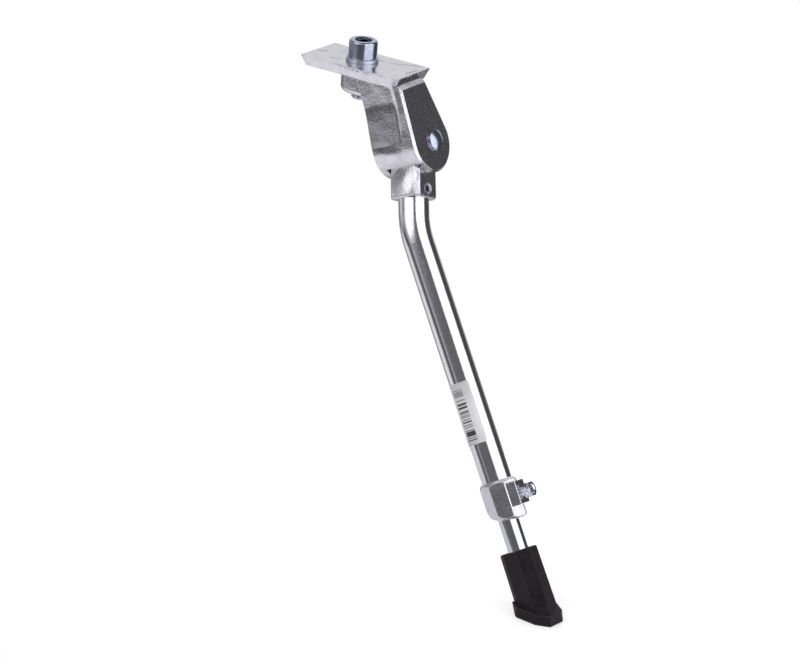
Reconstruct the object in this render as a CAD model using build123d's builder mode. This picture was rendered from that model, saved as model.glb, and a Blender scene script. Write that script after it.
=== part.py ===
from build123d import *
import math
import os

# A bicycle kickstand: a cast body bolts under the frame, and a bent leg swings on its rivet.
# Origin on the mounting screw's axis at the plate's top face, +Z up, +X out to the leg's side,
# -Y towards the front of the bicycle. All sizes are in millimetres and degrees.

# Mounting plate
plate_length = 65.2
plate_width = 33.4
plate_thickness = 6.0
plate_shift = 2.1
plate_draft = 20.0
plate_corner = 1.2
plate_edge = 0.4
plate_end_height = 3.0
seat_diameter = 18.8
seat_depth = 0.2

# Mounting screw, M10, and its spring washer
screw_diameter = 10.0
screw_length = 23.8
screw_head_diameter = 16.0
screw_head_height = 10.0
screw_head_round = 1.4
screw_key = 8.0
screw_key_depth = 5.0
screw_key_chamfer = 0.6
screw_tip_chamfer = 1.0
washer_diameter = 18.1
washer_thickness = 2.2
washer_gap = 1.6
thread_clearance = 0.05

# Boss that carries the screw's thread
boss_radius = 14.0
boss_shift = 3.5
boss_depth = 10.5
boss_reach = 18.0
boss_back = 4.0
boss_round = 2.6

# Hinge: the rivet's axis leans up towards the outside
hinge_tilt = 23.5
pivot_x = 37.0
pivot_y = 2.0
pivot_z = -40.4

# Yoke: two cheeks and a front wall that ends in the leg's stop
yoke_width = 29.0
cheek_thickness = 4.2
lobe_radius = 17.1
lobe_forward = 2.6
yoke_front = 18.3
yoke_back = 0.6
yoke_top = 52.0
cheek_edge = 1.3
shoulder_slope = 30.0
shoulder_inset = 1.2
wall_end = 11.8
wall_edge = 1.1
scoop_depth = 2.0
scoop_round = 5.0
scoop_start = 27.0
scoop_end = -1.0
scoop_bend = 7.0
scoop_run_out = 0.3
pocket_width = 4.4
pocket_wall = 5.0
pocket_height = 26.0

# Rivet
rivet_diameter = 8.0
rivet_head_diameter = 11.8
rivet_head_rim = 1.2
rivet_dome = 1.5
rivet_clearance = 0.05

# Leg head: an eye on the rivet and a shank that goes down to the tube
leg_rake = 23.4
leg_forward = 1.6
head_clearance = 0.2
head_depth = 19.3
head_length = 31.8
head_chamfer = 2.4
head_round = 1.5
eye_clearance = 0.6
stop_clearance = 0.05

# Spring-loaded plunger that presses on the eye
plunger_diameter = 6.0
plunger_length = 8.0
plunger_nose = 2.6
plunger_clearance = 0.08
detent_gap = 0.1
spring_wire = 0.8
spring_turns = 5
spring_length = 9.0
spring_clearance = 0.25
spring_seat_gap = 0.05

# Leg tube
tube_diameter = 17.0
tube_wall = 2.0
neck_step = 1.8
neck_length = 13.0
neck_wall = 1.6
neck_clearance = 0.05
bend_run = 16.1
bend_angle = 17.2
bend_side = 50.0
bend_radius = 55.0

# Cross pin that holds the tube in the head
pin_diameter = 6.2
pin_wall = 1.1
pin_slot = 1.2
pin_rise = 5.0
pin_edge = 0.35
pin_inset = 0.2
pin_clearance = 0.03

# Label
label_start = 88.5
label_length = 35.0
label_wrap = 150.0
label_turn = 114.0
label_thickness = 0.12
label_lift = 0.02

# Clamp collar
collar_start = 145.6
collar_length = 21.6
collar_wall = 1.75
collar_edge = 0.6
collar_slope = 11.0
collar_clock = -7.5
collar_chamfer = 2.2
collar_top_inset = 1.2
collar_round = 4.0
collar_floor = 4.0
collar_clearance = 0.05
collar_mouth_clearance = 0.3
lug_root_width = 15.2
lug_width = 10.4
lug_reach = 12.9
lug_length = 13.2
lug_drop = 3.0
lug_round = 0.5

# Clamp screw, which presses the rod against the tube's far side
clamp_diameter = 5.0
clamp_across_flats = 8.0
clamp_drop = 9.9
clamp_head_height = 4.2
clamp_head_chamfer = 0.5
clamp_standoff = 2.4
clamp_dish_depth = 0.6
clamp_dish_diameter = 5.4
clamp_clearance = 0.06
clamp_tip_gap = 0.05

# Inner rod
rod_clearance = 1.4
rod_offset = 0.65
rod_top = 81.0
rod_chamfer = 1.0

# Foot with a ridge at its front and back, a blunt inner edge, and a sole that lies on the ground
foot_gap = 17.8
foot_socket = 22.0
foot_length = 50.5
foot_top_half = 8.6
foot_top_side = 4.2
foot_top_ridge = 7.6
foot_low_half = 8.8
foot_low_side = 5.5
foot_low_ridge = 8.2
foot_ridge_shift = 1.2
foot_inner_reach = 2.9
foot_rim_round = 1.0
foot_clearance = 0.03
sole_drop = 39.3
sole_lip = 6.9
sole_clock = -8.0
sole_front = 8.2
sole_front_right = 7.0
sole_front_left = 2.0
sole_tip = 12.2
sole_heel = 13.3
sole_heel_side = 3.2
sole_end = 17.0
sole_end_shift = 2.5
sole_end_slope = 25.0
sole_tip_slope = 12.0
sole_edge = 0.9
lip_edge = 0.4
ground_lean = 3.0

os.makedirs("parts", exist_ok=True)


def leaning(degrees):
    # Unit vector that leans from +Z towards +X
    return Vector(math.sin(math.radians(degrees)), 0, math.cos(math.radians(degrees)))


def mix(first, second, degrees):
    # Unit vector turned from the first direction towards the second
    return first * math.cos(math.radians(degrees)) + second * math.sin(math.radians(degrees))


def foot_outline(half, side, ridge):
    # A flat outer side, ridges at the front and the back, and a blunt inner edge
    Polyline(
        (half, -side),
        (half, side),
        (foot_ridge_shift, ridge),
        (-half, side),
        (-half - foot_inner_reach, side / 2),
        (-half - foot_inner_reach, -side / 2),
        (-half, -side),
        (foot_ridge_shift, -ridge),
        close=True,
    )


# yoke_plane: X to the back, Y up the cheeks, Z out along the rivet; leg_plane: Y up the leg instead
hinge_direction = leaning(90 - hinge_tilt)
yoke_plane = Plane(origin=(pivot_x, pivot_y, pivot_z), x_dir=(0, 1, 0), z_dir=hinge_direction)
leg_back = mix(yoke_plane.x_dir, yoke_plane.y_dir, -leg_rake)
leg_plane = Plane(origin=yoke_plane.origin, x_dir=leg_back, z_dir=hinge_direction)
yoke_axis = Axis(yoke_plane.origin, yoke_plane.z_dir)
yoke_half = yoke_width / 2
gap_half = yoke_half - cheek_thickness
head_half = gap_half - head_clearance
head_front = -leg_forward - head_depth / 2
eye_radius = -head_front
pin_drop = head_length - pin_rise
cavity_radius = eye_radius + eye_clearance

# plunger_plane and rivet_plane share the rivet's centre: Z up the cheeks, and Y out along the rivet
plunger_plane = Plane(origin=yoke_plane.origin, x_dir=hinge_direction, z_dir=yoke_plane.y_dir)
rivet_plane = Plane(origin=yoke_plane.origin, x_dir=yoke_plane.x_dir, z_dir=-yoke_plane.y_dir)
plunger_tip = eye_radius + detent_gap
spring_seat = plunger_tip + plunger_length
bore_top = spring_seat + spring_length

# The rod slides in the tube, and the tube's neck is drawn down to fit the head
tube_radius = tube_diameter / 2
neck_radius = tube_radius - neck_step
rod_radius = tube_radius - tube_wall - rod_clearance / 2

# neck_plane: Z down the upper leg; bend_plane: X to the side that the leg bends to, Y up the upper leg
leg_down = leg_plane.y_dir * -1
leg_origin = leg_plane.from_local_coords((-leg_forward, 0, 0))
leg_axis = Axis(leg_origin, leg_down)
bend_direction = mix(leg_plane.z_dir, leg_plane.x_dir, bend_side)
bend_plane = Plane(origin=leg_origin, x_dir=bend_direction, z_dir=bend_direction.cross(leg_plane.y_dir))
neck_plane = Plane(origin=leg_origin, x_dir=hinge_direction, z_dir=leg_down)

# lower_plane: X outward, Y to the front, Z down the lower leg from the bend's corner; collar_plane: X along
# the clamp screw instead
lower_down = mix(leg_down, bend_direction, bend_angle)
bend_drop = head_length + bend_run
bend_corner = leg_origin + leg_down * bend_drop
outward = (hinge_direction - lower_down * hinge_direction.dot(lower_down)).normalized()
lower_plane = Plane(origin=bend_corner, x_dir=outward, z_dir=lower_down)
clamp_direction = mix(outward, lower_plane.y_dir, collar_clock)
collar_plane = Plane(origin=bend_corner, x_dir=clamp_direction, z_dir=lower_down)
tube_end = collar_start + collar_length - collar_floor
clamp_origin = collar_plane.from_local_coords((0, 0, collar_start + clamp_drop))
clamp_plane = Plane(origin=clamp_origin, x_dir=collar_plane.y_dir, z_dir=clamp_direction)
rod_plane = Plane(origin=bend_corner - clamp_direction * rod_offset, x_dir=clamp_direction, z_dir=lower_down)
foot_start = collar_start + collar_length + foot_gap
rod_end = foot_start + foot_socket
ground_up = leaning(-ground_lean)
sole_outward = mix(clamp_direction, collar_plane.y_dir, sole_clock)
sole_plane = Plane(
    origin=rod_plane.from_local_coords((0, 0, foot_start + sole_drop)),
    x_dir=sole_outward - ground_up * sole_outward.dot(ground_up),
    z_dir=ground_up,
)

# Plate with drafted sides
plate_right = plate_shift + plate_length / 2
with BuildPart() as plate:
    with BuildSketch():
        with Locations((plate_shift, 0)):
            Rectangle(plate_length, plate_width)
    extrude(amount=-plate_thickness, taper=plate_draft)
    fillet(plate.edges().filter_by(Plane.XY, reverse=True), plate_corner)
    fillet(plate.faces().sort_by(Axis.Z)[-1].edges(), plate_edge)

# Boss under the plate, round about the screw
with BuildPart() as boss:
    with BuildSketch(Plane.XY.offset(-plate_thickness)):
        with Locations((boss_shift, 0)):
            Circle(boss_radius)
            with Locations((0, -boss_radius)):
                Rectangle(boss_reach, boss_radius + boss_back, align=(Align.MIN, Align.MIN))
    extrude(amount=-boss_depth)
    fillet(boss.faces().sort_by(Axis.Z)[0].edges(), boss_round)

# Yoke block, from the lobe round the rivet up to the plate, with a scooped front wall
scoop_floor = scoop_depth - yoke_front
scoop_low = -lobe_forward - lobe_radius - scoop_run_out
scoop_right = gap_half - scoop_round
with BuildPart() as yoke:
    with BuildSketch(yoke_plane.offset(-yoke_half)):
        with Locations((-lobe_forward, 0)):
            Circle(lobe_radius)
        with Locations((-yoke_front, 0)):
            Rectangle(yoke_front + yoke_back, yoke_top, align=(Align.MIN, Align.MIN))
        make_hull()
    extrude(amount=yoke_width)
    chamfer(yoke.faces().sort_by(yoke_axis)[-1].edges(), cheek_edge)
    # The scoop leaves the outer cheek's rim standing and runs out on the lobe
    with BuildLine(yoke_plane) as scoop_path:
        Line((scoop_floor, yoke_top), (scoop_floor, scoop_start))
        Bezier(
            (scoop_floor, scoop_start),
            (scoop_floor, scoop_start - scoop_bend),
            (scoop_low, scoop_end + scoop_bend),
            (scoop_low, scoop_end),
        )
    with BuildSketch(Plane(origin=scoop_path.line @ 0, x_dir=hinge_direction, z_dir=scoop_path.line % 0)):
        with BuildLine():
            Line((-yoke_width, 0), (scoop_right, 0))
            CenterArc((scoop_right, scoop_round), scoop_round, -90, 90)
            Polyline((gap_half, scoop_round), (-yoke_width, scoop_round), (-yoke_width, 0))
        make_face()
    sweep(path=scoop_path.line, mode=Mode.SUBTRACT)
    # The yoke ends under the plate, with a sloping shoulder outside the plate's end
    split(bisect_by=Plane.XY.offset(-plate_end_height), keep=Keep.BOTTOM)
    shoulder_edge = (plate_right - shoulder_inset, 0, -plate_end_height)
    split(bisect_by=Plane(origin=shoulder_edge, z_dir=leaning(shoulder_slope)), keep=Keep.BOTTOM)

# Body: plate, boss and yoke cast in one piece
with BuildPart() as body:
    add(yoke.part)
    add(boss.part)
    add(plate.part)
    with BuildSketch():
        Circle(seat_diameter / 2)
    extrude(amount=-seat_depth, mode=Mode.SUBTRACT)
    with BuildSketch():
        Circle(screw_diameter / 2 + thread_clearance)
    extrude(amount=-plate_thickness - boss_depth, mode=Mode.SUBTRACT)
    # Room for the leg's eye, open to the back and below the front wall
    with BuildSketch(yoke_plane):
        Circle(cavity_radius)
        with Locations((0, cavity_radius)):
            Rectangle(yoke_top, yoke_top, align=(Align.MIN, Align.MAX))
        with Locations((0, -wall_end)):
            Rectangle(yoke_top, yoke_top, align=(Align.MAX, Align.MAX))
    extrude(amount=gap_half, both=True, mode=Mode.SUBTRACT)
    # The wall's inner face is the stop that the leg's shank rests on
    with BuildSketch(leg_plane):
        with Locations((head_front - stop_clearance, 0)):
            Rectangle(yoke_top, yoke_top, align=(Align.MIN, Align.MAX))
    extrude(amount=gap_half, both=True, mode=Mode.SUBTRACT)
    # The wall's lower edge is broken
    wall_corner = yoke_plane.from_local_coords((-lobe_forward - lobe_radius, -wall_end, 0))
    chamfer(body.edges().filter_by(yoke_axis).sort_by_distance(wall_corner)[0], wall_edge)
    # Pockets from the back, either side of the rib that holds the plunger
    with BuildSketch(yoke_plane.offset(gap_half - pocket_width), yoke_plane.offset(-gap_half)):
        with Locations((scoop_floor + pocket_wall, 0)):
            Rectangle(yoke_top, pocket_height, align=(Align.MIN, Align.MIN))
    extrude(amount=pocket_width, mode=Mode.SUBTRACT)
    with BuildSketch(yoke_plane):
        Circle(rivet_diameter / 2 + rivet_clearance)
    extrude(amount=yoke_width, both=True, mode=Mode.SUBTRACT)
    with BuildSketch(plunger_plane):
        Circle(plunger_diameter / 2 + plunger_clearance)
    extrude(amount=bore_top, mode=Mode.SUBTRACT)
body.part.label = "body"
export_step(body.part, "parts/body.step")

# Mounting screw: socket head cap screw
screw_seat = washer_thickness - seat_depth
with BuildPart() as mounting_screw:
    with BuildSketch(Plane.XY.offset(screw_seat)):
        Circle(screw_head_diameter / 2)
    extrude(amount=screw_head_height)
    fillet(mounting_screw.faces().sort_by(Axis.Z)[-1].edges(), screw_head_round)
    with BuildSketch(Plane.XY.offset(screw_seat)):
        Circle(screw_diameter / 2)
    extrude(amount=-screw_length)
    chamfer(mounting_screw.faces().sort_by(Axis.Z)[0].edges(), screw_tip_chamfer)
    with BuildSketch(Plane.XY.offset(screw_seat + screw_head_height)):
        RegularPolygon(screw_key / 2, 6, major_radius=False)
    extrude(amount=-screw_key_depth, mode=Mode.SUBTRACT)
    with BuildSketch(Plane.XY.offset(screw_seat + screw_head_height)):
        Circle(screw_key / math.sqrt(3) + screw_key_chamfer)
    extrude(amount=-2 * screw_key_chamfer, taper=45, mode=Mode.SUBTRACT)
mounting_screw.part.label = "mounting_screw"
export_step(mounting_screw.part, "parts/mounting_screw.step")

# Spring washer: a square-section ring with a gap
with BuildPart() as spring_washer:
    with BuildSketch(Plane.XY.offset(-seat_depth)):
        Circle(washer_diameter / 2)
        Circle(screw_diameter / 2 + thread_clearance, mode=Mode.SUBTRACT)
        Rectangle(washer_gap, washer_diameter, align=(Align.CENTER, Align.MIN), mode=Mode.SUBTRACT)
    extrude(amount=washer_thickness)
spring_washer.part.label = "spring_washer"
export_step(spring_washer.part, "parts/spring_washer.step")

# Pivot rivet: a domed head on each cheek
rivet_head_radius = rivet_head_diameter / 2
dome_base = yoke_half + rivet_head_rim
with BuildPart() as pivot_rivet:
    with BuildSketch(rivet_plane):
        with BuildLine():
            Polyline(
                (0, dome_base + rivet_dome),
                (0, 0),
                (rivet_diameter / 2, 0),
                (rivet_diameter / 2, yoke_half),
                (rivet_head_radius, yoke_half),
                (rivet_head_radius, dome_base),
            )
            TangentArc((0, dome_base + rivet_dome), (rivet_head_radius, dome_base), tangent=(1, 0))
        make_face()
        mirror(about=Plane.XZ)
    revolve(axis=yoke_axis)
pivot_rivet.part.label = "pivot_rivet"
export_step(pivot_rivet.part, "parts/pivot_rivet.step")

# Leg head: square shank with chamfered edges, an eye at its top and a socket for the tube's neck
with BuildPart() as leg_head:
    with BuildSketch(leg_plane):
        with Locations((-leg_forward, 0)):
            Rectangle(head_depth, head_length, align=(Align.CENTER, Align.MAX))
    extrude(amount=head_half, both=True)
    chamfer(leg_head.edges().filter_by(leg_axis), head_chamfer)
    fillet(leg_head.faces().sort_by(leg_axis)[-1].edges(), head_round)
    with BuildSketch(leg_plane):
        Circle(eye_radius)
    extrude(amount=head_half, both=True)
    with BuildSketch(leg_plane):
        Circle(rivet_diameter / 2 + rivet_clearance)
        with Locations((-leg_forward, -pin_drop)):
            Circle(pin_diameter / 2 + pin_clearance)
    extrude(amount=head_half, both=True, mode=Mode.SUBTRACT)
    with BuildSketch(neck_plane.offset(head_length)):
        Circle(neck_radius + neck_clearance)
    extrude(amount=-neck_length - neck_clearance, mode=Mode.SUBTRACT)
leg_head.part.label = "leg_head"
export_step(leg_head.part, "parts/leg_head.step")

# Detent plunger with a round nose on the eye
with BuildPart() as detent_plunger:
    with BuildSketch(plunger_plane.offset(plunger_tip)):
        Circle(plunger_diameter / 2)
    extrude(amount=plunger_length)
    plunger_ends = detent_plunger.faces().sort_by(Axis(plunger_plane.origin, plunger_plane.z_dir))
    fillet(plunger_ends[0].edges(), plunger_nose)
detent_plunger.part.label = "detent_plunger"
export_step(detent_plunger.part, "parts/detent_plunger.step")

# Detent spring, coiled between the plunger and the bore's end
coil_radius = (plunger_diameter - spring_wire) / 2 - spring_clearance
coil_height = spring_length - spring_wire - 2 * spring_seat_gap
coil_start = spring_seat + spring_seat_gap + spring_wire / 2
with BuildPart() as detent_spring:
    with BuildLine() as coil:
        Helix(
            pitch=coil_height / spring_turns,
            height=coil_height,
            radius=coil_radius,
            center=plunger_plane.from_local_coords((0, 0, coil_start)),
            direction=plunger_plane.z_dir,
        )
    with BuildSketch(Plane(origin=coil.line @ 0, z_dir=coil.line % 0)):
        Circle(spring_wire / 2)
    sweep(path=coil.line, is_frenet=True)
detent_spring.part.label = "detent_spring"
export_step(detent_spring.part, "parts/detent_spring.step")

# Leg tube: a bent tube whose top is drawn down to a neck
neck_top = neck_length - head_length
bore_radius = tube_radius - tube_wall
with BuildPart() as leg_tube:
    with BuildLine(bend_plane) as leg_path:
        run = tube_end * math.sin(math.radians(bend_angle))
        fall = tube_end * math.cos(math.radians(bend_angle))
        FilletPolyline((0, -head_length), (0, -bend_drop), (run, -bend_drop - fall), radius=bend_radius)
    with BuildSketch(neck_plane.offset(head_length)):
        Circle(tube_radius)
        Circle(bore_radius, mode=Mode.SUBTRACT)
    sweep(path=leg_path.line)
    with BuildSketch(bend_plane):
        with BuildLine():
            Polyline(
                (neck_radius - neck_wall, neck_top),
                (neck_radius, neck_top),
                (neck_radius, -head_length),
                (tube_radius, -head_length),
                (tube_radius, -head_length - 2 * tube_wall),
                (bore_radius, -head_length - 2 * tube_wall),
                (neck_radius - neck_wall, -head_length - tube_wall),
                close=True,
            )
        make_face()
    revolve(axis=leg_axis)
    with BuildSketch(leg_plane):
        with Locations((-leg_forward, -pin_drop)):
            Circle(pin_diameter / 2 + pin_clearance)
    extrude(amount=tube_diameter, both=True, mode=Mode.SUBTRACT)
    with BuildSketch(clamp_plane):
        Circle(clamp_diameter / 2 + clamp_clearance)
    extrude(amount=tube_diameter, mode=Mode.SUBTRACT)
leg_tube.part.label = "leg_tube"
export_step(leg_tube.part, "parts/leg_tube.step")

# Spring pin: a rolled sleeve with an open slot
with BuildPart() as spring_pin:
    with BuildSketch(leg_plane.offset(pin_inset - head_half)):
        with Locations((-leg_forward, -pin_drop)):
            Circle(pin_diameter / 2)
            Circle(pin_diameter / 2 - pin_wall, mode=Mode.SUBTRACT)
            Rectangle(pin_slot, pin_diameter, align=(Align.CENTER, Align.MAX), mode=Mode.SUBTRACT)
    extrude(amount=2 * (head_half - pin_inset))
    pin_ends = spring_pin.faces().sort_by(yoke_axis)
    chamfer(pin_ends[0].edges() + pin_ends[-1].edges(), pin_edge)
spring_pin.part.label = "spring_pin"
export_step(spring_pin.part, "parts/spring_pin.step")

# Label wrapped round the front of the tube
label_inner = tube_radius + label_lift
label_outer = label_inner + label_thickness
label_edge = label_turn - label_wrap / 2
with BuildPart() as label:
    with BuildSketch(lower_plane.offset(label_start)):
        with BuildLine():
            outer_arc = CenterArc((0, 0), label_outer, label_edge, label_wrap)
            inner_arc = CenterArc((0, 0), label_inner, label_edge, label_wrap)
            Line(outer_arc @ 0, inner_arc @ 0)
            Line(outer_arc @ 1, inner_arc @ 1)
        make_face()
    extrude(amount=label_length)
label.part.label = "label"
export_step(label.part, "parts/label.step")

# Clamp collar: an eight-sided sleeve with turned ends, and a lug for the clamp screw
collar_half = tube_radius + collar_wall
collar_corner = collar_half / math.cos(math.radians(22.5))
collar_top_radius = collar_half - collar_top_inset
collar_end = collar_start + collar_length
collar_section = Plane(origin=bend_corner, x_dir=clamp_direction, z_dir=collar_plane.y_dir * -1)
collar_end_section = Plane(
    origin=collar_plane.from_local_coords((0, 0, collar_end)),
    x_dir=mix(clamp_direction, lower_down, collar_slope),
    z_dir=collar_plane.y_dir * -1,
)
lug_root = lug_root_width / 2
with BuildPart() as clamp_collar:
    with BuildSketch(collar_plane.offset(collar_start)):
        RegularPolygon(collar_half, 8, major_radius=False)
    extrude(amount=2 * collar_length)
    fillet(clamp_collar.edges().filter_by(Axis(bend_corner, lower_down)), collar_edge)
    with BuildSketch(collar_section):
        with BuildLine():
            Polyline(
                (0, collar_start),
                (collar_top_radius, collar_start),
                (collar_corner, collar_start + collar_chamfer),
                (collar_corner, collar_start + 2 * collar_length),
                (0, collar_start + 2 * collar_length),
                close=True,
            )
        make_face()
    revolve(axis=Axis(bend_corner, lower_down), mode=Mode.INTERSECT)
    # The lower end slopes, longer on the lug's side
    with BuildSketch(collar_end_section):
        with BuildLine():
            Line((0, 0), (collar_corner - collar_round, 0))
            CenterArc((collar_corner - collar_round, -collar_round), collar_round, 0, 90)
            Polyline(
                (collar_corner, -collar_round),
                (collar_corner + 2 * collar_length, -collar_round - 2 * collar_length),
                (0, -collar_round - 2 * collar_length),
                (0, 0),
            )
        make_face()
    revolve(axis=Axis(collar_end_section.origin, collar_end_section.y_dir), mode=Mode.INTERSECT)
    with BuildSketch(collar_plane.offset(collar_start + lug_drop)):
        with BuildLine():
            Polyline(
                (0, -lug_root),
                (lug_root, -lug_root),
                (lug_reach, -lug_width / 2),
                (lug_reach, lug_width / 2),
                (lug_root, lug_root),
                (0, lug_root),
                close=True,
            )
        make_face()
    extrude(amount=lug_length)
    fillet(clamp_collar.faces().sort_by(Axis(bend_corner, clamp_direction))[-1].edges(), lug_round)
    with BuildSketch(collar_plane.offset(collar_start)):
        Circle(tube_radius + collar_clearance)
    extrude(amount=tube_end - collar_start, mode=Mode.SUBTRACT)
    with BuildSketch(rod_plane.offset(collar_start)):
        Circle(rod_radius + collar_mouth_clearance)
    extrude(amount=2 * collar_length, mode=Mode.SUBTRACT)
    with BuildSketch(clamp_plane):
        Circle(clamp_diameter / 2 + clamp_clearance)
    extrude(amount=lug_reach, mode=Mode.SUBTRACT)
clamp_collar.part.label = "clamp_collar"
export_step(clamp_collar.part, "parts/clamp_collar.step")

# Clamp screw: hexagon head with a dished top
clamp_tip = rod_radius - rod_offset + clamp_tip_gap
clamp_head_at = lug_reach + clamp_standoff
clamp_head_top = clamp_head_at + clamp_head_height
clamp_corner = clamp_across_flats / 2 / math.cos(math.radians(30))
clamp_section = Plane(origin=clamp_plane.origin, x_dir=clamp_plane.x_dir, z_dir=clamp_plane.y_dir * -1)
with BuildPart() as clamp_screw:
    with BuildSketch(clamp_plane.offset(clamp_head_at)):
        RegularPolygon(clamp_across_flats / 2, 6, major_radius=False)
    extrude(amount=clamp_head_height)
    with BuildSketch(clamp_section):
        with BuildLine():
            Polyline(
                (0, clamp_head_at),
                (clamp_corner, clamp_head_at),
                (clamp_corner, clamp_head_top - clamp_head_chamfer),
                (clamp_across_flats / 2, clamp_head_top),
                (clamp_dish_diameter / 2, clamp_head_top),
                (clamp_dish_diameter / 2 - clamp_dish_depth, clamp_head_top - clamp_dish_depth),
                (0, clamp_head_top - clamp_dish_depth),
                close=True,
            )
        make_face()
    revolve(axis=Axis(clamp_plane.origin, clamp_plane.z_dir), mode=Mode.INTERSECT)
    with BuildSketch(clamp_plane.offset(clamp_tip)):
        Circle(clamp_diameter / 2)
    extrude(amount=clamp_head_at - clamp_tip)
clamp_screw.part.label = "clamp_screw"
export_step(clamp_screw.part, "parts/clamp_screw.step")

# Inner rod
with BuildPart() as inner_rod:
    with BuildSketch(rod_plane.offset(rod_top)):
        Circle(rod_radius)
    extrude(amount=rod_end - rod_top)
    rod_ends = inner_rod.faces().sort_by(Axis(bend_corner, lower_down))
    chamfer(rod_ends[0].edges() + rod_ends[-1].edges(), rod_chamfer)
inner_rod.part.label = "inner_rod"
export_step(inner_rod.part, "parts/inner_rod.step")

# Sole: a slab on the ground whose top edge is the foot's lip
with BuildPart() as sole:
    with BuildSketch(sole_plane):
        with BuildLine():
            Polyline(
                (sole_front_right, -sole_front),
                (sole_tip, 0),
                (sole_front_right, sole_front),
                (-sole_front_left, sole_front),
                (-sole_heel, sole_heel_side + sole_end_shift),
                (-sole_end, sole_end_shift),
                (-sole_heel, -sole_heel_side),
                (-sole_front_left, -sole_front),
                close=True,
            )
        make_face()
    extrude(amount=sole_lip)
    sole_ends = sole.faces().sort_by(Axis(sole_plane.origin, sole_plane.z_dir))
    chamfer(sole_ends[0].edges(), sole_edge)
    chamfer(sole_ends[-1].edges(), lip_edge)
    # Towards the ground, the inner end slopes in and the outer end slopes out
    inner_end = sole_plane.from_local_coords((-sole_end, 0, sole_lip))
    inner_slope = mix(sole_plane.x_dir, sole_plane.z_dir, sole_end_slope)
    split(bisect_by=Plane(origin=inner_end, z_dir=inner_slope), keep=Keep.TOP)
    outer_end = sole_plane.from_local_coords((sole_tip, 0, 0))
    outer_slope = mix(sole_plane.x_dir, sole_plane.z_dir, sole_tip_slope)
    split(bisect_by=Plane(origin=outer_end, z_dir=outer_slope), keep=Keep.BOTTOM)

# Foot: a tapered moulding that widens down to the sole
with BuildPart() as foot:
    with BuildSketch(collar_plane.offset(foot_start)):
        with BuildLine():
            foot_outline(foot_top_half, foot_top_side, foot_top_ridge)
        make_face()
    with BuildSketch(collar_plane.offset(foot_start + foot_length)):
        with BuildLine():
            foot_outline(foot_low_half, foot_low_side, foot_low_ridge)
        make_face()
    loft()
    fillet(foot.faces().sort_by(Axis(bend_corner, lower_down))[0].edges(), foot_rim_round)
    split(bisect_by=sole_plane.offset(sole_lip - lip_edge), keep=Keep.TOP)
    add(sole.part)
    with BuildSketch(rod_plane.offset(foot_start)):
        Circle(rod_radius + foot_clearance)
    extrude(amount=foot_socket, mode=Mode.SUBTRACT)
foot.part.label = "foot"
export_step(foot.part, "parts/foot.step")
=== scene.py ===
import bpy
import bmesh
import math
from mathutils import Matrix, Vector


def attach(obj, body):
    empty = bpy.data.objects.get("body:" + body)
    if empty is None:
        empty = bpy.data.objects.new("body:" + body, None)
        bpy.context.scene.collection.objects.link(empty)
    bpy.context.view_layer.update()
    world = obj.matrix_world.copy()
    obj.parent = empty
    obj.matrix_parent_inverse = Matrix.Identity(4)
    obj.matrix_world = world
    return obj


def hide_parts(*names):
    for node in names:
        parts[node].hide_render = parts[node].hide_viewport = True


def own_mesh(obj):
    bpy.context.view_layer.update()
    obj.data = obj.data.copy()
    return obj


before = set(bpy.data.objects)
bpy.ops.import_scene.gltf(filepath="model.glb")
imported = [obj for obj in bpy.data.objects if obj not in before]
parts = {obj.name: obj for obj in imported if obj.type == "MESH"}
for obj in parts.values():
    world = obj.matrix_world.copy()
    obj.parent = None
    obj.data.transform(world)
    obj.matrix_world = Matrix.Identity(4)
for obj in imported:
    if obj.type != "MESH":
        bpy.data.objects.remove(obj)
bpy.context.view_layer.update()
scene = bpy.context.scene
scene.view_settings.view_transform = "Standard"
print("stage 1: kickstand frame loaded,", len(parts), "pieces")

# camera: where the photograph was taken from
camera = {"azimuth": 31.85, "elevation": 23.682, "roll": 4.683, "lens": 97.347, "distance": 1.2,
          "right": -0.020934, "up": 0.149163}


def unitFrom(azimuth, elevation):
    a = math.radians(azimuth)
    e = math.radians(elevation)
    return Vector((math.cos(e) * math.cos(a), math.cos(e) * math.sin(a), math.sin(e)))


def addCamera(spec):
    back = unitFrom(spec["azimuth"] - 90, spec["elevation"])
    level = unitFrom(spec["azimuth"], 0)
    upright = back.cross(level)
    r = math.radians(spec["roll"])
    right = level * math.cos(r) + upright * math.sin(r)
    up = upright * math.cos(r) - level * math.sin(r)
    data = bpy.data.cameras.new("camera")
    data.lens = spec["lens"]
    data.sensor_width = 36
    data.sensor_fit = "HORIZONTAL"
    data.clip_start = 0.05
    obj = bpy.data.objects.new("camera", data)
    scene.collection.objects.link(obj)
    place = Matrix((right, up, back)).transposed().to_4x4()
    place.translation = back * spec["distance"] - right * spec["right"] - up * spec["up"]
    obj.matrix_world = place
    scene.camera = obj


addCamera(camera)
print("stage 2: camera set")


# material helpers
def newMaterial(name):
    mat = bpy.data.materials.new(name)
    mat.use_nodes = True
    tree = mat.node_tree
    return mat, tree, tree.nodes["Principled BSDF"]


def addNode(tree, kind, **values):
    node = tree.nodes.new(kind)
    for key, value in values.items():
        setattr(node, key, value)
    return node


def setInputs(node, values):
    for key, value in values.items():
        node.inputs[key].default_value = value
    return node


def objectCoords(tree, scale=(1, 1, 1), rotation=(0, 0, 0), location=(0, 0, 0), kind="POINT"):
    coords = addNode(tree, "ShaderNodeTexCoord")
    mapping = addNode(tree, "ShaderNodeMapping", vector_type=kind)
    setInputs(mapping, {"Scale": scale, "Rotation": rotation, "Location": location})
    tree.links.new(coords.outputs["Object"], mapping.inputs["Vector"])
    return mapping.outputs["Vector"]


def noise(tree, coords, scale, detail=4.0, roughness=0.5, distortion=0.0):
    node = setInputs(addNode(tree, "ShaderNodeTexNoise"),
                     {"Scale": scale, "Detail": detail, "Roughness": roughness, "Distortion": distortion})
    tree.links.new(coords, node.inputs["Vector"])
    return node.outputs["Fac"]


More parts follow.
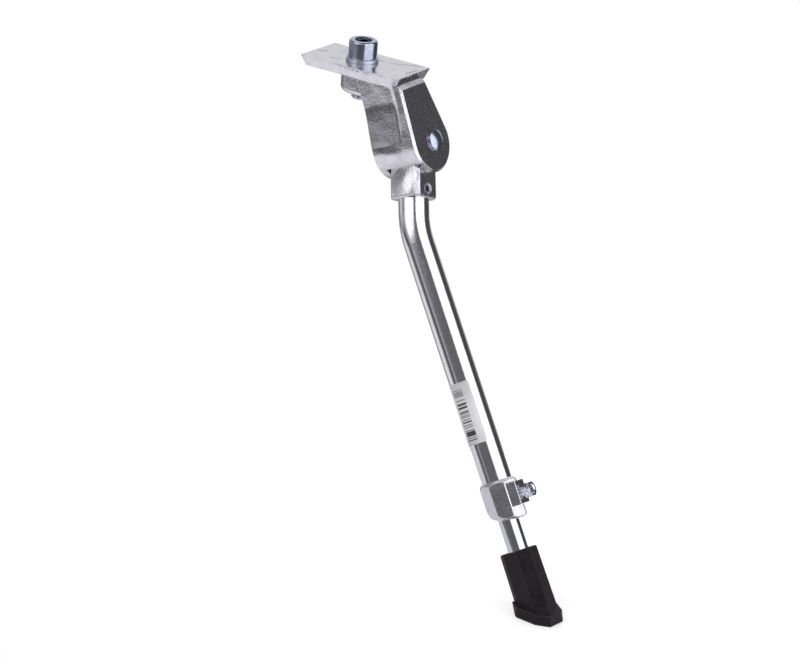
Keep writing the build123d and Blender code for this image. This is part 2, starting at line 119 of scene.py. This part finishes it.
def spread(tree, value, low, high, fromLow=0.0, fromHigh=1.0, smooth=False):
    node = addNode(tree, "ShaderNodeMapRange", interpolation_type="SMOOTHSTEP" if smooth else "LINEAR")
    setInputs(node, {"From Min": fromLow, "From Max": fromHigh, "To Min": low, "To Max": high})
    tree.links.new(value, node.inputs["Value"])
    return node.outputs["Result"]


def maths(tree, operation, first, second=None, third=None):
    node = addNode(tree, "ShaderNodeMath", operation=operation)
    for socket, value in zip(node.inputs, (first, second, third)):
        if value is None:
            continue
        if isinstance(value, (int, float)):
            socket.default_value = value
        else:
            tree.links.new(value, socket)
    return node.outputs["Value"]


def blendColours(tree, factor, first, second):
    node = addNode(tree, "ShaderNodeMix", data_type="RGBA")
    for socket, value in ((node.inputs[6], first), (node.inputs[7], second)):
        if isinstance(value, tuple):
            socket.default_value = (*value, 1)
        else:
            tree.links.new(value, socket)
    tree.links.new(factor, node.inputs[0])
    return node.outputs[2]


def softEdges(tree, radius):
    node = addNode(tree, "ShaderNodeBevel", samples=6)
    node.inputs["Radius"].default_value = radius
    return node.outputs["Normal"]


def bump(tree, height, distance, under):
    node = setInputs(addNode(tree, "ShaderNodeBump"), {"Strength": 1.0, "Distance": distance})
    tree.links.new(height, node.inputs["Height"])
    tree.links.new(under, node.inputs["Normal"])
    return node.outputs["Normal"]


def scratch(tree, start, end, width):
    # 1 along a line on the plate's top, 0 away from it
    run = Vector(end) - Vector(start)
    middle = (Vector(end) + Vector(start)) / 2
    local = objectCoords(tree, kind="TEXTURE", location=(middle.x, middle.y, 0),
                         rotation=(0, 0, math.atan2(run.y, run.x)), scale=(run.length / 2, width, 0.0006))
    axes = addNode(tree, "ShaderNodeSeparateXYZ")
    tree.links.new(local, axes.inputs["Vector"])
    along = spread(tree, maths(tree, "ABSOLUTE", axes.outputs["X"]), 1, 0, 0.8, 1.0)
    across = spread(tree, maths(tree, "ABSOLUTE", axes.outputs["Y"]), 1, 0, 0.2, 1.0)
    level = spread(tree, maths(tree, "ABSOLUTE", axes.outputs["Z"]), 1, 0, 0.6, 1.0)
    return maths(tree, "MULTIPLY", maths(tree, "MULTIPLY", along, across), level)


def swell(tree, centre, reach):
    # 1 at a point of the surface, falling smoothly to 0 at its reach
    away = addNode(tree, "ShaderNodeVectorMath", operation="LENGTH")
    tree.links.new(objectCoords(tree, kind="TEXTURE", location=centre, scale=reach), away.inputs[0])
    return spread(tree, away.outputs["Value"], 1, 0, smooth=True)


def strongest(tree, values):
    top = values[0]
    for value in values[1:]:
        top = maths(tree, "MAXIMUM", top, value)
    return top


def edgeWearAndHighlight(tree, radius, low, high):
    # 0 on a flat face, 1 along its sharp edges: a mask for edge wear and for a painted edge highlight
    facing = addNode(tree, "ShaderNodeVectorMath", operation="DOT_PRODUCT")
    tree.links.new(softEdges(tree, radius), facing.inputs[0])
    tree.links.new(addNode(tree, "ShaderNodeNewGeometry").outputs["Normal"], facing.inputs[1])
    return spread(tree, facing.outputs["Value"], 0, 1, low, high)


# tumbled and polished casting: fine mottling, brushed lines, scratches and knocks on the plate, and edges coloured
# bright, partly as wear and partly as a painted highlight
castFinish = {"light": (0.725, 0.71, 0.785), "dull": (0.655, 0.64, 0.715), "bright": (0.93, 0.915, 0.965),
              "scratchDark": (0.16, 0.155, 0.19), "roughLow": 0.10, "roughHigh": 0.20, "speckle": 0.22, "edge": 0.00045,
              "patchScale": 210, "speckleScale": 2300, "swayScale": 95, "rippleScale": 620, "grainScale": 1700,
              "nickScale": 560, "brushScale": (60, 900, 2600), "brushTilt": 0.41,
              "sway": 0.0003, "ripple": 0.00007, "grain": 0.000026, "brushed": 0.000012,  # heights in metres
              "groove": 0.0003, "swell": 0.00045, "nick": 0.0003, "scratchWidth": 0.00036,
              "swells": (((0.0330, -0.0176, -0.0445), (0.016, 0.010, 0.0090)),
                         ((0.0436, -0.0171, -0.0548), (0.0085, 0.010, 0.0110))),
              "nicks": (((0.0080, -0.0163, 0), (0.024, 0.0016, 0.0022)),
                        ((-0.0302, -0.0060, 0), (0.0013, 0.012, 0.0018)),
                        ((0.0344, 0.0020, 0), (0.0013, 0.016, 0.0018)),
                        ((0.0338, -0.0156, -0.0004), (0.0028, 0.0026, 0.0024))),
              "scratches": (((-0.0286, -0.0033), (-0.0229, 0.0003)), ((-0.0177, 0.0051), (-0.0150, 0.0076)),
                            ((-0.0156, -0.0100), (-0.0094, -0.0062)), ((0.0142, 0.0063), (0.0311, 0.0157)),
                            ((0.0060, 0.0077), (0.0108, 0.0066)), ((0.0311, -0.0042), (0.0320, 0.0074)))}


def makeCastAluminium(spec):
    mat, tree, shader = newMaterial("castAluminium")
    coords = objectCoords(tree)
    patches = noise(tree, coords, spec["patchScale"], 5, 0.6)
    grain = noise(tree, coords, spec["grainScale"], 3, 0.6)
    ripple = noise(tree, coords, spec["rippleScale"], 2, 0.5)
    sway = noise(tree, coords, spec["swayScale"], 1, 0.4)
    speckle = spread(tree, noise(tree, coords, spec["speckleScale"], 2, 0.5), 0, spec["speckle"], 0.56, 0.72)
    brushed = noise(tree, objectCoords(tree, scale=spec["brushScale"], rotation=(0, spec["brushTilt"], 0)), 1, 2, 0.5)
    tone = spread(tree, patches, 0, 1, 0.36, 0.64)
    # painted highlight, partly edge wear: the sharp edges are coloured bright, broken up by the ripple
    rubbedAndHighlit = maths(tree, "MULTIPLY", edgeWearAndHighlight(tree, spec["edge"], 0.995, 0.9),
                   spread(tree, ripple, 0.2, 1, 0.42, 0.58))
    metal = blendColours(tree, tone, spec["dull"], spec["light"])
    metal = blendColours(tree, rubbedAndHighlit, metal, spec["bright"])
    rough = maths(tree, "ADD", spread(tree, patches, spec["roughHigh"], spec["roughLow"], 0.3, 0.7), speckle)
    tree.links.new(rough, shader.inputs["Roughness"])
    normal = bump(tree, strongest(tree, [swell(tree, *place) for place in spec["swells"]]), spec["swell"],
                  softEdges(tree, spec["edge"]))
    normal = bump(tree, sway, spec["sway"], normal)
    normal = bump(tree, ripple, spec["ripple"], normal)
    normal = bump(tree, brushed, spec["brushed"], normal)
    normal = bump(tree, grain, spec["grain"], normal)
    cut = strongest(tree, [scratch(tree, start, end, spec["scratchWidth"]) for start, end in spec["scratches"]])
    normal = bump(tree, maths(tree, "SUBTRACT", 1.0, cut), spec["groove"], normal)
    # the scratches are coloured darker
    tree.links.new(blendColours(tree, cut, metal, spec["scratchDark"]), shader.inputs["Base Color"])
    # knocks along the plate's edges
    knocked = strongest(tree, [swell(tree, *place) for place in spec["nicks"]])
    knocked = maths(tree, "MULTIPLY", spread(tree, knocked, 0, 1, 0.05, 0.5),
                    spread(tree, noise(tree, coords, spec["nickScale"], 2, 0.5), 0, 1, 0.5, 0.6))
    tree.links.new(bump(tree, maths(tree, "SUBTRACT", 1.0, knocked), spec["nick"], normal), shader.inputs["Normal"])
    shader.inputs["Metallic"].default_value = 1
    return mat


# polished tube with a fine peel
tubeFinish = {"light": (0.755, 0.745, 0.815), "dull": (0.715, 0.705, 0.775), "roughLow": 0.07, "roughHigh": 0.14,
              "edge": 0.0003, "peel": 0.000034, "peelScale": 1300, "toneScale": 260}


def makePolishedTube(spec):
    mat, tree, shader = newMaterial("polishedTube")
    coords = objectCoords(tree)
    peel = noise(tree, coords, spec["peelScale"], 3, 0.55)
    tone = noise(tree, coords, spec["toneScale"], 4, 0.55)
    tree.links.new(blendColours(tree, spread(tree, tone, 0, 1, 0.35, 0.6), spec["dull"], spec["light"]),
                   shader.inputs["Base Color"])
    tree.links.new(spread(tree, tone, spec["roughHigh"], spec["roughLow"], 0.3, 0.7), shader.inputs["Roughness"])
    tree.links.new(bump(tree, peel, spec["peel"], softEdges(tree, spec["edge"])), shader.inputs["Normal"])
    shader.inputs["Metallic"].default_value = 1
    return mat


# zinc plating: blue-grey on the mounting screw, duller on the washer and pin, brighter on the clamp screw and rod
# the plating's socket colour is a painted shade, dark down in a screw's socket
plating = {"paintedSocketShade": (0.07, 0.085, 0.13), "edge": 0.0004, "peel": 0.00001, "toneScale": 420, "peelScale": 2100}
zincFinish = {**plating, "name": "zincSteel", "light": (0.52, 0.56, 0.68), "dull": (0.38, 0.42, 0.54),
              "roughLow": 0.15, "roughHigh": 0.24}
washerFinish = {**plating, "name": "dullZinc", "light": (0.66, 0.69, 0.79), "dull": (0.55, 0.58, 0.68),
                "roughLow": 0.36, "roughHigh": 0.5, "edge": 0.0005, "peel": 0.00002}
clampFinish = {**plating, "name": "brightZinc", "light": (0.76, 0.80, 0.91), "dull": (0.64, 0.68, 0.79),
               "roughLow": 0.16, "roughHigh": 0.26}
rodFinish = {**plating, "name": "platedRod", "light": (0.69, 0.70, 0.76), "dull": (0.62, 0.63, 0.70),
             "roughLow": 0.05, "roughHigh": 0.09, "edge": 0.0003, "peel": 0.000004}


def makeZincSteel(spec):
    mat, tree, shader = newMaterial(spec["name"])
    coords = objectCoords(tree)
    tone = noise(tree, coords, spec["toneScale"], 4, 0.6)
    peel = noise(tree, coords, spec["peelScale"], 3, 0.5)
    # painted shade: the faces down in a screw's socket are coloured dark
    paintedSocketShade = addNode(tree, "ShaderNodeAttribute", attribute_name="paintedSocketShade").outputs["Fac"]
    plated = blendColours(tree, spread(tree, tone, 0, 1, 0.35, 0.65), spec["dull"], spec["light"])
    tree.links.new(blendColours(tree, paintedSocketShade, plated, spec["paintedSocketShade"]), shader.inputs["Base Color"])
    tree.links.new(spread(tree, tone, spec["roughHigh"], spec["roughLow"], 0.3, 0.7), shader.inputs["Roughness"])
    tree.links.new(bump(tree, peel, spec["peel"], softEdges(tree, spec["edge"])), shader.inputs["Normal"])
    shader.inputs["Metallic"].default_value = 1
    return mat


# moulded black plastic, its edges coloured lighter, partly as rubbed wear and partly as a painted highlight
plasticFinish = {"dark": (0.0128, 0.0084, 0.0120), "worn": (0.024, 0.0168, 0.021), "rubbedAndHighlit": (0.085, 0.074, 0.082),
                 "roughLow": 0.36, "roughHigh": 0.52, "edge": 0.0005, "texture": 0.000014, "gloss": 0.16,
                 "cloudScale": 120, "textureScale": 2400, "rubAndHighlightScale": 500}


def makeBlackPlastic(spec):
    mat, tree, shader = newMaterial("blackPlastic")
    coords = objectCoords(tree)
    cloud = noise(tree, coords, spec["cloudScale"], 4, 0.6)
    texture = noise(tree, coords, spec["textureScale"], 2, 0.5)
    # painted highlight, partly rubbed wear: the edges are coloured lighter, broken up by noise
    rubbedAndHighlit = maths(tree, "MULTIPLY", edgeWearAndHighlight(tree, spec["edge"], 0.995, 0.94),
                   spread(tree, noise(tree, coords, spec["rubAndHighlightScale"], 3, 0.5), 0.35, 1, 0.4, 0.6))
    moulded = blendColours(tree, spread(tree, cloud, 0, 1, 0.35, 0.65), spec["dark"], spec["worn"])
    tree.links.new(blendColours(tree, rubbedAndHighlit, moulded, spec["rubbedAndHighlit"]), shader.inputs["Base Color"])
    tree.links.new(spread(tree, cloud, spec["roughLow"], spec["roughHigh"], 0.3, 0.7), shader.inputs["Roughness"])
    tree.links.new(bump(tree, texture, spec["texture"], softEdges(tree, spec["edge"])), shader.inputs["Normal"])
    shader.inputs["Specular IOR Level"].default_value = spec["gloss"]
    return mat


# white paper with a strip of plain bars; the strip's place is a share of the sheet
paperFinish = {"paper": (0.90, 0.895, 0.915), "aged": (0.86, 0.855, 0.875), "ink": (0.05, 0.05, 0.06),
               "fibre": 0.000006, "barsFrom": (0.22, 0.11), "barsTo": (0.52, 0.93), "bars": 92,
               "inked": 0.5, "roughLow": 0.42, "roughHigh": 0.56, "edge": 0.0001, "fibreScale": 3200, "cloudScale": 300}


def makeLabelPaper(spec):
    mat, tree, shader = newMaterial("labelPaper")
    fibre = noise(tree, objectCoords(tree), spec["fibreScale"], 3, 0.5)
    cloud = noise(tree, objectCoords(tree), spec["cloudScale"], 3, 0.5)
    tree.links.new(spread(tree, fibre, spec["roughLow"], spec["roughHigh"]), shader.inputs["Roughness"])
    tree.links.new(bump(tree, fibre, spec["fibre"], softEdges(tree, spec["edge"])), shader.inputs["Normal"])
    sheet = addNode(tree, "ShaderNodeUVMap", uv_map="sheet")
    axes = addNode(tree, "ShaderNodeSeparateXYZ")
    tree.links.new(sheet.outputs["UV"], axes.inputs["Vector"])
    inside = None
    for axis, low, high in zip(("X", "Y"), spec["barsFrom"], spec["barsTo"]):
        near = maths(tree, "COMPARE", axes.outputs[axis], (low + high) / 2, (high - low) / 2)
        inside = near if inside is None else maths(tree, "MULTIPLY", inside, near)
    bar = addNode(tree, "ShaderNodeTexWhiteNoise", noise_dimensions="1D")
    tree.links.new(maths(tree, "FLOOR", maths(tree, "MULTIPLY", axes.outputs["Y"], spec["bars"])), bar.inputs["W"])
    ink = maths(tree, "MULTIPLY", inside, maths(tree, "GREATER_THAN", bar.outputs["Value"], spec["inked"]))
    paper = blendColours(tree, spread(tree, cloud, 0, 1, 0.35, 0.65), spec["aged"], spec["paper"])
    tree.links.new(blendColours(tree, ink, paper, spec["ink"]), shader.inputs["Base Color"])
    return mat


finishes = {"cast_aluminium": makeCastAluminium(castFinish), "polished_tube": makePolishedTube(tubeFinish),
            "zinc_steel": makeZincSteel(zincFinish), "label_paper": makeLabelPaper(paperFinish),
            "black_plastic": makeBlackPlastic(plasticFinish)}
wearers = {"cast_aluminium": ("body", "leg_head", "clamp_collar"), "polished_tube": ("leg_tube",),
           "zinc_steel": ("mounting_screw", "spring_washer", "pivot_rivet", "detent_plunger", "detent_spring",
                          "spring_pin", "clamp_screw", "inner_rod"),
           "label_paper": ("label",), "black_plastic": ("foot",)}
for slot, names in wearers.items():
    for name in names:
        parts[name].data.materials.clear()
        parts[name].data.materials.append(finishes[slot])
# the rod is plated brighter, and the washer and the pin are duller
platedRod = makeZincSteel(rodFinish)
dullZinc = makeZincSteel(washerFinish)
for name, finish in (("inner_rod", platedRod), ("spring_washer", dullZinc), ("spring_pin", dullZinc)):
    parts[name].data.materials[0] = finish
print("stage 3: materials on the pieces")


sharpAngle = 32  # degrees, for new pieces
weld = 0.000001


def finishPiece(name, bm, slot, body, replaced):
    mesh = bpy.data.meshes.new(name)
    for face in bm.faces:
        face.smooth = True
    bm.to_mesh(mesh)
    bm.free()
    mesh.set_sharp_from_angle(angle=math.radians(sharpAngle))
    mesh.materials.append(finishes[slot])
    obj = bpy.data.objects.new(name, mesh)
    scene.collection.objects.link(obj)
    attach(obj, body)
    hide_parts(replaced)
    return obj


# paper label: a flat sheet with round corners, cut into strips and wrapped round the lower leg
labelSheet = {"corner": (0.0542758, -0.0184918, -0.0801316), "outward": (0.825713, 0.033202, 0.563112),
              "down": (0.559773, -0.171492, -0.810706), "radius": 0.00853, "from": 40.0, "to": 188.6,
              "start": 0.0886, "length": 0.0348, "round": 0.0016, "strips": 64, "thickness": 0.0001}


def addLabel(spec):
    down = Vector(spec["down"])
    outward = Vector(spec["outward"])
    front = down.cross(outward)
    sweep = math.radians(spec["to"] - spec["from"])
    bm = bmesh.new()
    bmesh.ops.create_grid(bm, x_segments=1, y_segments=1, size=0.5)
    bmesh.ops.scale(bm, vec=(sweep * spec["radius"], spec["length"], 1), verts=bm.verts)
    bmesh.ops.bevel(bm, geom=bm.verts[:], offset=spec["round"], affect="VERTICES", segments=6, profile=0.5,
                    material=-1)
    bmesh.ops.scale(bm, vec=(1 / (sweep * spec["radius"]), 1 / spec["length"], 1), verts=bm.verts)
    for strip in range(1, spec["strips"]):
        bmesh.ops.bisect_plane(bm, geom=bm.verts[:] + bm.edges[:] + bm.faces[:], dist=weld,
                               plane_co=(strip / spec["strips"] - 0.5, 0, 0), plane_no=(1, 0, 0))
    sheet = bm.loops.layers.uv.new("sheet")
    for face in bm.faces:
        for loop in face.loops:
            loop[sheet].uv = (loop.vert.co.x + 0.5, loop.vert.co.y + 0.5)
    for vert in bm.verts:
        turn = math.radians(spec["from"]) + (vert.co.x + 0.5) * sweep
        along = spec["start"] + (vert.co.y + 0.5) * spec["length"]
        away = outward * math.cos(turn) + front * math.sin(turn)
        vert.co = Vector(spec["corner"]) + down * along + away * spec["radius"]
    obj = finishPiece("labelSheet", bm, "label_paper", "leg", "label")
    paper = obj.modifiers.new("paper", "SOLIDIFY")
    paper.thickness = spec["thickness"]
    paper.offset = 1


addLabel(labelSheet)
print("stage 4: label wrapped round the leg")

# cut threads: the screws keep their heads, and their shanks become helical threads
frameThread = {"node": "mounting_screw", "body": "mount", "foot": (0, 0, -0.0218), "axis": (0, 0, 1),
               "length": 0.0203, "overlap": 0.0003, "crest": 0.00498, "pitch": 0.0015, "tipFlat": 0.0039, "steps": 48,
               "loops": (0.0241, 0.0250, 0.0315, 0.0322), "socket": (0.0047, 0.0100, 0.00005)}
clampThread = {"node": "clamp_screw", "body": "clamp", "foot": (0.1456253, -0.0443195, -0.2034016),
               "axis": (0.827741, 0.161437, 0.537386), "length": 0.0101, "overlap": 0.0003, "crest": 0.00249,
               "pitch": 0.0008, "tipFlat": 0.0019, "steps": 40}
threadForm = {"depth": 0.61, "rootTo": 0.25, "crestFrom": 0.5625, "crestTo": 0.6875}  # shares of the pitch


def addThread(name, spec):
    axis = Vector(spec["axis"])
    pitch = spec["pitch"]
    crest = spec["crest"]
    root = crest - threadForm["depth"] * pitch
    turns = math.ceil(spec["length"] / pitch) + 2
    bm = bmesh.new()
    shape = ((root, 0), (root, threadForm["rootTo"]), (crest, threadForm["crestFrom"]), (crest, threadForm["crestTo"]),
             (root, 1))
    section = [bm.verts.new((r, 0, (share - 1) * pitch)) for r, share in shape]
    for low, high in zip(section, section[1:]):
        bm.edges.new((low, high))
    bmesh.ops.spin(bm, geom=bm.verts[:] + bm.edges[:], cent=(0, 0, 0), axis=(0, 0, 1),
                   dvec=(0, 0, pitch / spec["steps"]), angle=2 * math.pi * turns, steps=spec["steps"] * turns,
                   use_merge=False)
    bmesh.ops.remove_doubles(bm, verts=bm.verts, dist=0.000002)
    # the helix ends flat at its tip and under the head
    for height, way in ((0, -1), (spec["length"], 1)):
        cut = bmesh.ops.bisect_plane(bm, geom=bm.verts[:] + bm.edges[:] + bm.faces[:], dist=0.0000005,
                                     plane_co=(0, 0, height), plane_no=(0, 0, way), clear_outer=True)
        rim = [edge for edge in cut["geom_cut"] if isinstance(edge, bmesh.types.BMEdge)]
        bmesh.ops.edgeloop_fill(bm, edges=rim)
    # lead-in cone at the tip
    for vert in bm.verts:
        limit = spec["tipFlat"] + vert.co.z
        if vert.co.xy.length > limit:
            vert.co.xy = vert.co.xy.normalized() * limit
    bmesh.ops.recalc_face_normals(bm, faces=bm.faces)
    turn = axis.to_track_quat("Z", "Y").to_matrix().to_4x4()
    bmesh.ops.transform(bm, matrix=Matrix.Translation(spec["foot"]) @ turn, verts=bm.verts)
    # the head, from the CAD screw
    mesh = parts[spec["node"]].data.copy()
    head = bmesh.new()
    head.from_mesh(mesh)
    bmesh.ops.remove_doubles(head, verts=head.verts, dist=weld)
    bmesh.ops.bisect_plane(head, geom=head.verts[:] + head.edges[:] + head.faces[:], dist=0.0000005,
                           plane_co=Vector(spec["foot"]) + axis * (spec["length"] - spec["overlap"]), plane_no=axis,
                           clear_inner=True)
    # loops near the ends of the head's side keep its shading straight
    for height in spec.get("loops", ()):
        bmesh.ops.bisect_plane(head, geom=head.verts[:] + head.edges[:] + head.faces[:], dist=0.0000005,
                               plane_co=Vector(spec["foot"]) + axis * height, plane_no=axis)
    head.to_mesh(mesh)
    head.free()
    bm.from_mesh(mesh)
    bpy.data.meshes.remove(mesh)
    if "socket" in spec:
        # faces inside the socket, which get the painted shade: its radius, its depth and a step below the rim
        radius, depth, step = spec["socket"]
        paintedSocketShade = bm.faces.layers.float.new("paintedSocketShade")
        heights = [(vert.co - Vector(spec["foot"])).dot(axis) for vert in bm.verts]
        for face in bm.faces:
            place = face.calc_center_median() - Vector(spec["foot"])
            along = place.dot(axis)
            if (place - axis * along).length < radius and max(heights) - depth < along < max(heights) - step:
                face[paintedSocketShade] = 1
    return finishPiece(name, bm, "zinc_steel", spec["body"], spec["node"])


# the hidden spring, kept as a merged copy of the CAD spring
detentSpring = {"node": "detent_spring", "body": "mount", "axis": (-0.398749, 0, 0.91706),
                "end": (0.0257165, 0.002, -0.0144498), "keep": 0.83}


def addSpring(name, spec):
    bm = bmesh.new()
    bm.from_mesh(parts[spec["node"]].data)
    bmesh.ops.remove_doubles(bm, verts=bm.verts, dist=weld)
    obj = finishPiece(name, bm, "zinc_steel", spec["body"], spec["node"])
    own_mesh(obj)


addThread("mountingScrew", frameThread)
clampScrew = addThread("clampScrew", clampThread)
clampScrew.data.materials[0] = makeZincSteel(clampFinish)
addSpring("detentSpring", detentSpring)
print("stage 5: threads cut on the screws, and the detent spring")

# pale floor under the sole
floor = {"sole": (0.179295, -0.057062, -0.262322), "lean": 3.0, "radius": 0.20, "shift": 0.03, "azimuth": -165,
         "colour": (0.86, 0.86, 0.865), "lift": 0.54, "farLift": 0.95, "near": 0.05, "far": 0.15, "glossLift": 0.20,
         "rough": 0.9, "gloss": 0.1}


def addFloor(spec):
    mesh = bpy.data.meshes.new("floor")
    bm = bmesh.new()
    bmesh.ops.create_circle(bm, cap_ends=True, segments=128, radius=spec["radius"])
    bmesh.ops.translate(bm, vec=unitFrom(spec["azimuth"], 0) * spec["shift"], verts=bm.verts)
    turn = Matrix.Rotation(math.radians(-spec["lean"]), 4, "Y")
    bmesh.ops.transform(bm, matrix=Matrix.Translation(spec["sole"]) @ turn, verts=bm.verts)
    bm.to_mesh(mesh)
    bm.free()
    obj = bpy.data.objects.new("floor", mesh)
    scene.collection.objects.link(obj)
    mat, tree, shader = newMaterial("floorPaper")
    shader.inputs["Base Color"].default_value = (*spec["colour"], 1)
    shader.inputs["Roughness"].default_value = spec["rough"]
    shader.inputs["Specular IOR Level"].default_value = spec["gloss"]
    shader.inputs["Emission Color"].default_value = (1, 1, 1, 1)
    # the paper is white to the camera, and keeps the shadow near the sole
    away = addNode(tree, "ShaderNodeVectorMath", operation="DISTANCE")
    tree.links.new(objectCoords(tree), away.inputs[0])
    away.inputs[1].default_value = spec["sole"]
    lift = spread(tree, away.outputs["Value"], spec["lift"], spec["farLift"], spec["near"], spec["far"], smooth=True)
    rays = addNode(tree, "ShaderNodeLightPath")
    seen = maths(tree, "MULTIPLY", rays.outputs["Is Camera Ray"], lift)
    mirrored = maths(tree, "MAXIMUM", rays.outputs["Is Glossy Ray"], rays.outputs["Is Transmission Ray"])
    seen = maths(tree, "MAXIMUM", seen, maths(tree, "MULTIPLY", mirrored, spec["glossLift"]))
    tree.links.new(seen, shader.inputs["Emission Strength"])
    mesh.materials.append(mat)


addFloor(floor)
print("stage 6: floor laid")

# studio: softboxes to the right and the left, a pale backdrop behind, and a dark room between them, in degrees
studio = {"room": 0.075, "patches": {
    "rightSoftbox": {"azimuth": -4, "half": 39, "low": -22, "high": 55, "soft": 6, "softLow": 14, "level": 1.65},
    "leftSoftbox": {"azimuth": -99, "half": 39, "low": 5, "high": 58, "soft": 12, "softLow": 5, "level": 1.55,
                    "slant": 0.74, "slantFrom": -17},
    "backdrop": {"azimuth": 119, "half": 33, "low": -12, "high": 68, "soft": 10, "softLow": 8, "level": 0.82},
    "backWall": {"azimuth": 176, "half": 36, "low": -12, "high": 60, "soft": 12, "softLow": 8, "level": 0.34},
    "backLow": {"azimuth": 172, "half": 30, "low": -14, "high": 4, "soft": 8, "softLow": 6, "level": 0.72},
    "topPanel": {"azimuth": 162, "half": 46, "low": 46, "high": 68, "soft": 6, "softLow": 5, "level": 0.85},
    "paper": {"azimuth": -144, "half": 40, "low": -140, "high": -18, "soft": 6, "softLow": 1, "level": 0.92},
    "paperBack": {"azimuth": 128, "half": 52, "low": -140, "high": -18, "soft": 6, "softLow": 1, "level": 0.40},
    "lowLeft": {"azimuth": -134, "half": 28, "low": -6, "high": 12, "soft": 9, "softLow": 3, "level": 0.42},
    "frontGap": {"azimuth": -80, "half": 44, "low": -30, "high": 80, "soft": 10, "softLow": 20, "level": 0.15}}}


def addPatch(tree, azimuth, elevation, spec):
    turned = maths(tree, "WRAP", maths(tree, "SUBTRACT", azimuth, spec["azimuth"]), 180.0, -180.0)
    side = spread(tree, maths(tree, "ABSOLUTE", turned), spec["level"], 0, spec["half"] - spec["soft"],
                  spec["half"] + spec["soft"], smooth=True)
    height = elevation
    if "slant" in spec:
        past = maths(tree, "MAXIMUM", maths(tree, "SUBTRACT", turned, spec["slantFrom"]), 0.0)
        height = maths(tree, "SUBTRACT", elevation, maths(tree, "MULTIPLY", past, spec["slant"]))
    low = spread(tree, height, 0, 1, spec["low"] - spec["softLow"], spec["low"] + spec["softLow"], smooth=True)
    top = spread(tree, elevation, 1, 0, spec["high"] - spec["soft"], spec["high"] + spec["soft"], smooth=True)
    return maths(tree, "MULTIPLY", maths(tree, "MULTIPLY", side, low), top)


def addStudio(spec):
    world = bpy.data.worlds.new("studio")
    scene.world = world
    world.use_nodes = True
    tree = world.node_tree
    shade = tree.nodes["Background"]
    coords = addNode(tree, "ShaderNodeTexCoord")
    axes = addNode(tree, "ShaderNodeSeparateXYZ")
    tree.links.new(coords.outputs["Generated"], axes.inputs["Vector"])
    azimuth = maths(tree, "DEGREES", maths(tree, "ARCTAN2", axes.outputs["Y"], axes.outputs["X"]))
    elevation = maths(tree, "DEGREES", maths(tree, "ARCSINE", axes.outputs["Z"]))
    rays = addNode(tree, "ShaderNodeLightPath")
    level = maths(tree, "MAXIMUM", rays.outputs["Is Camera Ray"], rays.outputs["Is Transmission Ray"])
    level = maths(tree, "MAXIMUM", level, spec["room"])
    for patch in spec["patches"].values():
        level = maths(tree, "MAXIMUM", level, addPatch(tree, azimuth, elevation, patch))
    tree.links.new(level, shade.inputs["Strength"])
    shade.inputs["Color"].default_value = (1, 1, 1, 1)


addStudio(studio)
print("stage 7: studio light")

bpy.context.view_layer.update()
